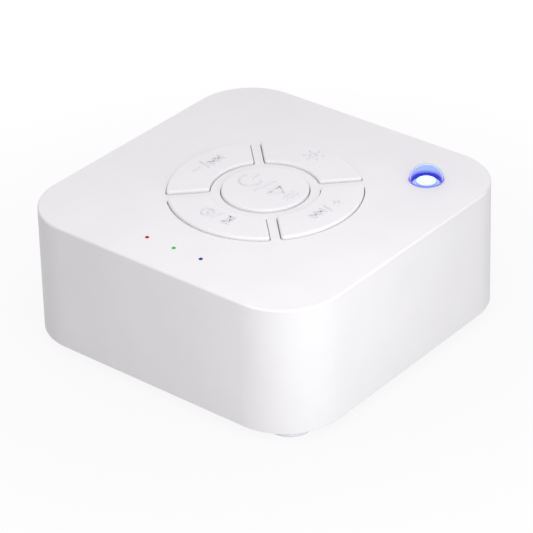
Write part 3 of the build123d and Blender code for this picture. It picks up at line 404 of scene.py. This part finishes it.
# --- Surfaces ---------------------------------------------------------------------------------
def grid_faces(rows, columns, start):
    """Quads of a grid whose columns close round; rows run on without closing."""
    row, column = np.meshgrid(np.arange(rows - 1), np.arange(columns), indexing="ij")
    after = (column + 1) % columns
    corners = [row * columns + column, row * columns + after]
    corners += [(row + 1) * columns + after, (row + 1) * columns + column]
    return start + np.stack(corners, -1).reshape(-1, 4)


def piece(name, grids, body, slot_name, finish=None):
    """One mesh from closed tubes, each an array (rows, columns, 3) in metres; points that meet
    are merged. It has the slot's own finish unless another is named."""
    vertices, faces, start = [], [], 0
    for grid in grids:
        rows, columns = grid.shape[:2]
        faces.append(grid_faces(rows, columns, start))
        vertices.append(grid.reshape(-1, 3))
        start += rows * columns
    mesh = bpy.data.meshes.new(name)
    mesh.from_pydata(np.vstack(vertices), [], np.vstack(faces).tolist())
    shape = bmesh.new()
    shape.from_mesh(mesh)
    bmesh.ops.remove_doubles(shape, verts=shape.verts, dist=0.0002 * MM)
    loose = [edge for edge in shape.edges if not edge.link_faces]
    bmesh.ops.delete(shape, geom=loose, context="EDGES")
    bmesh.ops.recalc_face_normals(shape, faces=shape.faces)
    shape.to_mesh(mesh)
    shape.free()
    mesh.shade_smooth()
    mesh.materials.append(finishes[finish or slot_name])
    made = bpy.data.objects.new(name, mesh)
    bpy.context.scene.collection.objects.link(made)
    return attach(made, body)


def line(start, end):
    """25 points from start to end, nearer together towards both ends: share = (1 - cos t) / 2."""
    start, end = np.array(start, float), np.array(end, float)
    share = (1 - np.cos(np.linspace(0, np.pi, 25))) / 2
    return start + share[:, None] * (end - start)


def arc(centre, radius, first, last):
    """73 points round a centre, from the first to the last angle in degrees:
    centre + radius * (cos a, sin a)."""
    angle = np.radians(np.linspace(first, last, 73))
    return np.array(centre) + radius * np.stack([np.cos(angle), np.sin(angle)], -1)


def rounded_loop(corners, radius, steps=6):
    """A closed outline with each corner turned on a radius: the arc's centre lies on the
    bisector at radius / sin(half the corner's angle), and its ends touch both sides."""
    corners = np.array(corners, float)
    before = np.roll(corners, 1, 0) - corners
    after = np.roll(corners, -1, 0) - corners
    before /= np.linalg.norm(before, axis=1)[:, None]
    after /= np.linalg.norm(after, axis=1)[:, None]
    bisector = before + after
    bisector /= np.linalg.norm(bisector, axis=1)[:, None]
    half = np.arccos(np.clip((before * bisector).sum(1), -1, 1))
    centres = corners + bisector * (radius / np.sin(half))[:, None]
    swing = ((np.pi / 2 - half)[:, None] * np.linspace(-1, 1, steps))[..., None]
    side = np.stack([-bisector[:, 1], bisector[:, 0]], -1)
    side *= np.sign((before * side).sum(1))[:, None]
    radial = -bisector[:, None] * np.cos(swing) - side[:, None] * np.sin(swing)
    return (centres[:, None] + radius * radial).reshape(-1, 2)


def stroke(path, width, height, sunk, closed=False):
    """A raised stroke. Its section is a squared ellipse: across = width / 2 * cos a, and
    up = height * sin(a) ** 0.4 above the face, sunk * sin(a) ** 0.4 below it. At an open
    end the section shrinks as a half circle of radius width / 2, so that the end is round."""
    if closed:
        path = np.vstack([path, path[:1]])
        along = np.roll(path[:-1], -1, 0) - np.roll(path[:-1], 1, 0)
        along = np.vstack([along, along[:1]])
        shrink = np.ones(len(path))
    else:
        along = np.gradient(path, axis=0)
        run = np.concatenate([[0], np.cumsum(np.linalg.norm(np.diff(path, axis=0), axis=1))])
        end = np.clip(np.minimum(run, run[-1] - run) / (width / 2), 0, 1)
        shrink = np.sqrt(1 - (1 - end) ** 2)
    along = along / np.linalg.norm(along, axis=1)[:, None]
    side = np.stack([-along[:, 1], along[:, 0]], -1)
    a = np.linspace(0, 2 * np.pi, 20, endpoint=False)
    across = width / 2 * np.cos(a)
    up = np.where(np.sin(a) > 0, height, sunk) * np.sign(np.sin(a)) * np.abs(np.sin(a)) ** 0.4
    flat = path[:, None] + side[:, None] * (shrink[:, None] * across)[..., None]
    return np.dstack([flat, shrink[:, None] * up])


def turned(profile, middle=lens_middle, turns=96):
    """A closed profile of (radius, height) in metres, turned about an upright axis through
    middle: x = middle + radius * cos a, y = middle + radius * sin a."""
    angle = np.linspace(0, 2 * np.pi, turns + 1)[:, None]
    radius, height = np.array(profile).T
    x = middle.x + radius * np.cos(angle)
    y = middle.y + radius * np.sin(angle)
    return np.dstack([x, y, np.broadcast_to(height, x.shape)])


def turned_ring(profile, middle, turns=64):
    """A closed profile of (radius, along) in metres, turned about +Y through middle:
    x = middle + radius * cos a, y = middle + along, z = middle + radius * sin a."""
    angle = np.linspace(0, 2 * np.pi, turns + 1)[:, None]
    radius, along = np.array(profile).T
    x = middle.x + radius * np.cos(angle)
    z = middle.z + radius * np.sin(angle)
    return np.dstack([x, np.broadcast_to(middle.y + along, x.shape), z])


def quarter_dome(radius, rise, steps=28):
    """A quarter of an ellipse, from its foot on the top face to its axis: radius * cos u, and
    rise * sin u above the top face."""
    u = np.linspace(0, np.pi / 2, steps)
    return np.stack([radius * np.cos(u), case_top + rise * np.sin(u)], -1)


def rounding(radius, height, edge, first, last, steps=8):
    """A rounded edge of a profile, from the first to the last degree: radius + edge * cos b, and
    height + edge * sin b."""
    bend = np.radians(np.linspace(first, last, steps))
    return np.stack([radius + edge * np.cos(bend), height + edge * np.sin(bend)], -1)


# --- Night light ------------------------------------------------------------------------------
LENS_RADIUS = 4.9 * MM  # of the dome's foot and of the skirt under it
LENS_RISE = 4.3 * MM  # of the dome above the top face
LENS_WALL = 0.5 * MM
flange_radius = (lens_high.x - lens_low.x) / 2
flange_top = lens_low.z + 1.2 * MM
dome_profile = np.vstack([
    [(LENS_RADIUS - LENS_WALL, lens_low.z), (flange_radius, lens_low.z)],
    [(flange_radius, flange_top), (LENS_RADIUS, flange_top)],
    quarter_dome(LENS_RADIUS, LENS_RISE),
    quarter_dome(LENS_RADIUS - LENS_WALL, LENS_RISE - LENS_WALL)[::-1],
])
dome = piece("night_light_dome", [turned(dome_profile)], "case", "lens_clear")
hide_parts("night_light_lens")

LAMP_RADIUS = 2.9 * MM
LAMP_EDGE = 0.35 * MM  # radius round the lit face
LEG_RADIUS = 0.25 * MM
LEG_SPREAD = 1.27 * MM  # from the lamp's axis to a leg
lamp_foot = lamp_high.z - 8.6 * MM
collar_radius = (lamp_high.x - lamp_low.x) / 2
collar_top = lamp_foot + 1 * MM
lamp_profile = np.vstack([
    [(0, lamp_foot), (collar_radius, lamp_foot)],
    [(collar_radius, collar_top), (LAMP_RADIUS, collar_top)],
    rounding(LAMP_RADIUS - LAMP_EDGE, lit_top - LAMP_EDGE, LAMP_EDGE, 0, 90, steps=10),
    [(0, lit_top)],
])


def lamp_leg(x):
    """A round leg under the lamp, this far from its axis, with its upper end inside the lamp's
    foot."""
    low, high = lamp_low.z, lamp_foot + 0.5 * MM
    grid = turned([(0, low), (LEG_RADIUS, low), (LEG_RADIUS, high), (0, high)], turns=16)
    return grid + (x, 0, 0)


lamp = piece(
    "night_light_lamp", [turned(lamp_profile), lamp_leg(-LEG_SPREAD), lamp_leg(LEG_SPREAD)],
    "case", "lamp_epoxy",
)
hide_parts("night_light_led")

# --- Indicators' heads ------------------------------------------------------------------------
HEAD_RADIUS = 0.58 * MM
HEAD_RISE = 0.3 * MM  # above the top face, and as deep in the light pipe
HEAD_PLUG = 0.4 * MM  # radius of the part in the light pipe
head_profile = np.vstack([
    [(0, case_top - HEAD_RISE), (HEAD_PLUG, case_top - HEAD_RISE), (HEAD_PLUG, case_top)],
    quarter_dome(HEAD_RADIUS, HEAD_RISE, steps=10),
])
for hue in INDICATORS:
    head = turned(head_profile, middle_of(f"{hue}_light_pipe"), turns=32)
    piece(f"{hue}_indicator_head", [head], "case", f"pipe_{hue}")

# --- Feet -------------------------------------------------------------------------------------
foot_names = ["foot_front_left", "foot_front_right", "foot_rear_left", "foot_rear_right"]
SOLE_HEIGHT = 1.9 * MM
SOLE_EDGE = 0.45 * MM  # radius round the sole's two edges
foot_low, foot_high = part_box(foot_names[0])
plug_radius = (foot_high.x - foot_low.x) / 2
sole_radius = plug_radius + 1.1 * MM
foot_profile = np.vstack([
    [(0, 0)],
    rounding(sole_radius - SOLE_EDGE, SOLE_EDGE, SOLE_EDGE, -90, 0),
    rounding(sole_radius - SOLE_EDGE, SOLE_HEIGHT - SOLE_EDGE, SOLE_EDGE, 0, 90),
    [(plug_radius, SOLE_HEIGHT), (plug_radius, foot_high.z), (0, foot_high.z)],
])
feet = piece(
    "feet", [turned(foot_profile, middle_of(foot)) for foot in foot_names], "case", "foot_rubber"
)
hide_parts(*foot_names)

# --- Raised signs on the keys, in millimetres from the machine's middle ------------------------
SIGN_WIDTH = 0.5
SIGN_HEIGHT = 0.32
SIGN_SUNK = 0.06


def signs(name, body, strokes, turn):
    """Raised strokes on a key's face; turn stands the row to be read from that key's side."""
    c, s = math.cos(math.radians(turn)), math.sin(math.radians(turn))
    grids = []
    for path, closed in strokes:
        grid = stroke(path, SIGN_WIDTH, SIGN_HEIGHT, SIGN_SUNK, closed) * MM
        grid[..., :2] = grid[..., :2] @ np.array([[c, s], [-s, c]])
        grid[..., 2] += key_top
        grids.append(grid)
    # The signs' grey finish is painted shade.
    return piece(name, grids, body, "key_plastic", "sign_plastic_painted_shade")


def open_line(start, end):
    """A straight stroke."""
    return line(start, end), False


def bar(x, middle, half_height):
    """An upright stroke."""
    return open_line((x, middle - half_height), (x, middle + half_height))


def arrow_head(edge, tip, middle, half_height):
    """A triangle with an upright edge, which points to its tip."""
    corners = [(edge, middle - half_height), (tip, middle), (edge, middle + half_height)]
    return rounded_loop(corners, 0.12), True


# Next, a slash and a plus.
signs("volume_up_signs", "volume_up_key", [
    arrow_head(-5.1, -3.1, -20.8, 1.35),
    arrow_head(-2.8, -0.8, -20.8, 1.35),
    bar(-0.4, -20.8, 1.5),
    open_line((0.9, -23.2), (1.7, -19.0)),
    open_line((3.9, -21.2), (6.5, -21.2)),
    bar(5.2, -21.2, 1.3),
], 90)
# Previous, a slash and a minus.
signs("volume_down_signs", "volume_down_key", [
    bar(-6.2, -21.1, 1.6),
    arrow_head(-3.8, -5.8, -21.1, 1.35),
    arrow_head(-1.5, -3.5, -21.1, 1.35),
    open_line((-0.6, -24.4), (0.4, -19.6)),
    open_line((1.6, -21.8), (5.3, -21.8)),
], -90)
# Power, a slash, and play and pause.
signs("power_signs", "power_key", [
    (arc((-5.8, 0.6), 3.1, 142, 398), False),
    bar(-5.8, 3.3, 1.6),
    open_line((-1.3, -3.5), (0.5, 4.7)),
    (rounded_loop([(2.7, -2.3), (6.6, 0.5), (2.7, 3.3)], 0.2), True),
    bar(7.9, 0.5, 2.5),
    bar(9.6, 0.5, 2.5),
], 0)
# A sun with six rays.
SUN = np.array([0.5, -22.5])
rays = [np.array([math.cos(a), math.sin(a)]) for a in np.radians(np.arange(30, 390, 60))]
signs("night_light_signs", "night_light_key", [
    (arc(SUN, 1.1, 0, 355), True),
    *[open_line(SUN + 2.15 * ray, SUN + 3.25 * ray) for ray in rays],
], 180)
# A clock, a slash and an hourglass.
HOURGLASS = [(2.1, -21.8), (3.45, -20.0), (2.1, -18.2), (4.8, -18.2), (3.45, -20.0), (4.8, -21.8)]
signs("timer_signs", "timer_key", [
    (arc((-4.0, -20.0), 1.8, 0, 355), True),
    open_line((-4.0, -20.0), (-4.0, -18.9)),
    open_line((-4.0, -20.0), (-3.2, -20.5)),
    open_line((-1.0, -22.2), (0.0, -17.9)),
    (rounded_loop(HOURGLASS, 0.05), True),
], 0)

# --- Metal in the sockets' mouths, in millimetres from each mouth's middle ---------------------
mounts = {mount["name"]: Vector(mount["pos_m"]) for mount in frame["record"]["mounts"]}
usb_mouth = mounts["micro_usb_socket"]
# The ring's profile: radius, and place along Y, where 0 is the mouth and + is outwards.
RING = [(1.85, -1.2), (1.85, 0.04), (1.92, 0.1), (2.2, 0.1), (2.28, 0.04), (2.28, -1.2)]
piece(
    "jack_mouth_ring", [turned_ring(np.array(RING) * MM, mounts["headphone_jack"])], "case",
    "socket_steel", "mouth_nickel",
)

STRIP_LENGTH = 2.9
STRIP_WIDTH = 0.36
STRIP_PITCH = 0.65
STRIP_SETBACK = 1.15  # behind the socket's mouth


def contact_strip(x):
    """A gold strip under the tongue, a flat rounded tube along Y."""
    grid = stroke(line((x, 0), (x, -STRIP_LENGTH)), STRIP_WIDTH, 0.06, 0.05) * MM
    grid[..., 2] *= -1
    return grid + np.array([usb_mouth.x, usb_mouth.y - STRIP_SETBACK * MM, usb_mouth.z])


piece(
    "usb_contacts", [contact_strip(x) for x in np.arange(-2, 3) * STRIP_PITCH], "case",
    "socket_steel", "contact_gold",
)

# --- Floor ------------------------------------------------------------------------------------
FLOOR_REACH = 6.0
FLOOR_GREY = 0.6
SHADOW_SHARE = 0.1  # of the floor's look that is its real, shaded surface, near the machine
SHADOW_REACH = (0.06, 0.15)  # from the middle: the share falls from here to none there


def seen_rays(tree):
    """1 for rays from the camera and for those that gloss or glass sends on, otherwise 0."""
    kinds = tree.nodes.new("ShaderNodeLightPath").outputs
    seen = arithmetic(tree, "MAXIMUM", kinds["Is Camera Ray"], kinds["Is Glossy Ray"])
    return arithmetic(tree, "MAXIMUM", seen, kinds["Is Transmission Ray"])


def mix_shaders(tree, share, first, second):
    """The first shader where share is 0 and the second where it is 1."""
    mixed = tree.nodes.new("ShaderNodeMixShader")
    tree.links.new(share, mixed.inputs["Fac"])
    tree.links.new(first.outputs[0], mixed.inputs[1])
    tree.links.new(second.outputs[0], mixed.inputs[2])
    return mixed


def studio_floor():
    """A pale sheet that is white to the eye and keeps a soft shadow; its back isn't seen."""
    mesh = bpy.data.meshes.new("floor")
    corners = FLOOR_REACH * np.array([(-1, -1, 0), (1, -1, 0), (1, 1, 0), (-1, 1, 0)], float)
    mesh.from_pydata(corners, [], [(0, 1, 2, 3)])
    material, tree, paper, place = blank_finish("floor_paper")
    set_sockets(paper, {
        "Base Color": (FLOOR_GREY, FLOOR_GREY, FLOOR_GREY, 1), "Roughness": 0.8,
        "Specular IOR Level": 0.0,
    })
    white = tree.nodes.new("ShaderNodeEmission")
    distance, _ = from_point(tree, place, (0, 0))
    plain = remap(tree, distance, *SHADOW_REACH, 1 - SHADOW_SHARE, 1)
    share = arithmetic(tree, "MULTIPLY", seen_rays(tree), plain)
    front = mix_shaders(tree, share, paper, white)
    back = tree.nodes.new("ShaderNodeNewGeometry").outputs["Backfacing"]
    sheet = mix_shaders(tree, back, front, tree.nodes.new("ShaderNodeBsdfTransparent"))
    tree.links.new(sheet.outputs[0], tree.nodes["Material Output"].inputs["Surface"])
    mesh.materials.append(material)
    floor = bpy.data.objects.new("floor", mesh)
    bpy.context.scene.collection.objects.link(floor)


studio_floor()

# --- Light ------------------------------------------------------------------------------------
AIM = Vector((0, 0, 0.02))
SOFTBOXES = {  # azimuth, elevation, distance and side in metres, power in watts
    "high_softbox": (40, 65, 0.22, 0.16, 0.12),
    "corner_softbox": (55, 12, 0.2, 0.14, 0.08),
    "right_softbox": (80, 20, 0.2, 0.14, 0.05),
    "rear_softbox": (180, 60, 0.4, 0.3, 0.03),
    "left_rear_softbox": (225, 25, 0.5, 0.4, 0.1),
}
ROOM_STRENGTH = 0.68
ROOM_COLOUR = (1.0, 0.97, 1.01)


def direction(azimuth, elevation):
    """Unit vector towards a place round the machine: azimuth 0 is the front, 90 its right."""
    a, e = math.radians(azimuth), math.radians(elevation)
    return Vector((math.sin(a) * math.cos(e), -math.cos(a) * math.cos(e), math.sin(e)))


def softbox(name, azimuth, elevation, distance, side, power):
    """A square lamp that faces the machine; the camera doesn't see it."""
    light = bpy.data.lights.new(name, "AREA")
    light.shape, light.size, light.energy = "SQUARE", side, power
    towards = direction(azimuth, elevation)
    box = bpy.data.objects.new(name, light)
    box.location = AIM + towards * distance
    box.rotation_euler = towards.to_track_quat("Z", "Y").to_euler()
    box.visible_camera = False
    bpy.context.scene.collection.objects.link(box)


def studio_room():
    """Even light from all round; where it is seen, the room is plain white."""
    world = bpy.data.worlds.new("studio")
    bpy.context.scene.world = world
    world.use_nodes = True
    tree = world.node_tree
    room = tree.nodes["Background"]
    set_sockets(room, {"Strength": ROOM_STRENGTH, "Color": (*ROOM_COLOUR, 1)})
    backdrop = tree.nodes.new("ShaderNodeBackground")
    set_sockets(backdrop, {"Strength": 1.0, "Color": (1, 1, 1, 1)})
    choice = mix_shaders(tree, seen_rays(tree), room, backdrop)
    tree.links.new(choice.outputs[0], tree.nodes["World Output"].inputs["Surface"])


for name, setting in SOFTBOXES.items():
    softbox(name, *setting)
studio_room()

# --- Camera -----------------------------------------------------------------------------------
CAMERA_AZIMUTH = 39.766
CAMERA_ELEVATION = 31.157
CAMERA_DISTANCE = 0.728116
CAMERA_ASIDE = -0.000223
CAMERA_RAISED = -0.003489
CAMERA_ROLL = -1.529
CAMERA_LENS = 174.3

back = direction(CAMERA_AZIMUTH, CAMERA_ELEVATION)
level = Vector((0, 0, 1)).cross(back).normalized()
upward = back.cross(level)
roll = math.radians(CAMERA_ROLL)
across = level * math.cos(roll) + upward * math.sin(roll)
upright = upward * math.cos(roll) - level * math.sin(roll)
stand = AIM + back * CAMERA_DISTANCE + level * CAMERA_ASIDE + upward * CAMERA_RAISED
camera_data = bpy.data.cameras.new("camera")
camera_data.lens, camera_data.sensor_width = CAMERA_LENS, 36.0
camera_data.clip_start, camera_data.clip_end = 0.01, 50.0
camera = bpy.data.objects.new("camera", camera_data)
turn = Matrix((across, upright, back)).transposed().to_4x4()
camera.matrix_world = Matrix.Translation(stand) @ turn
bpy.context.scene.collection.objects.link(camera)
bpy.context.scene.camera = camera
bpy.context.scene.view_settings.view_transform = "Standard"
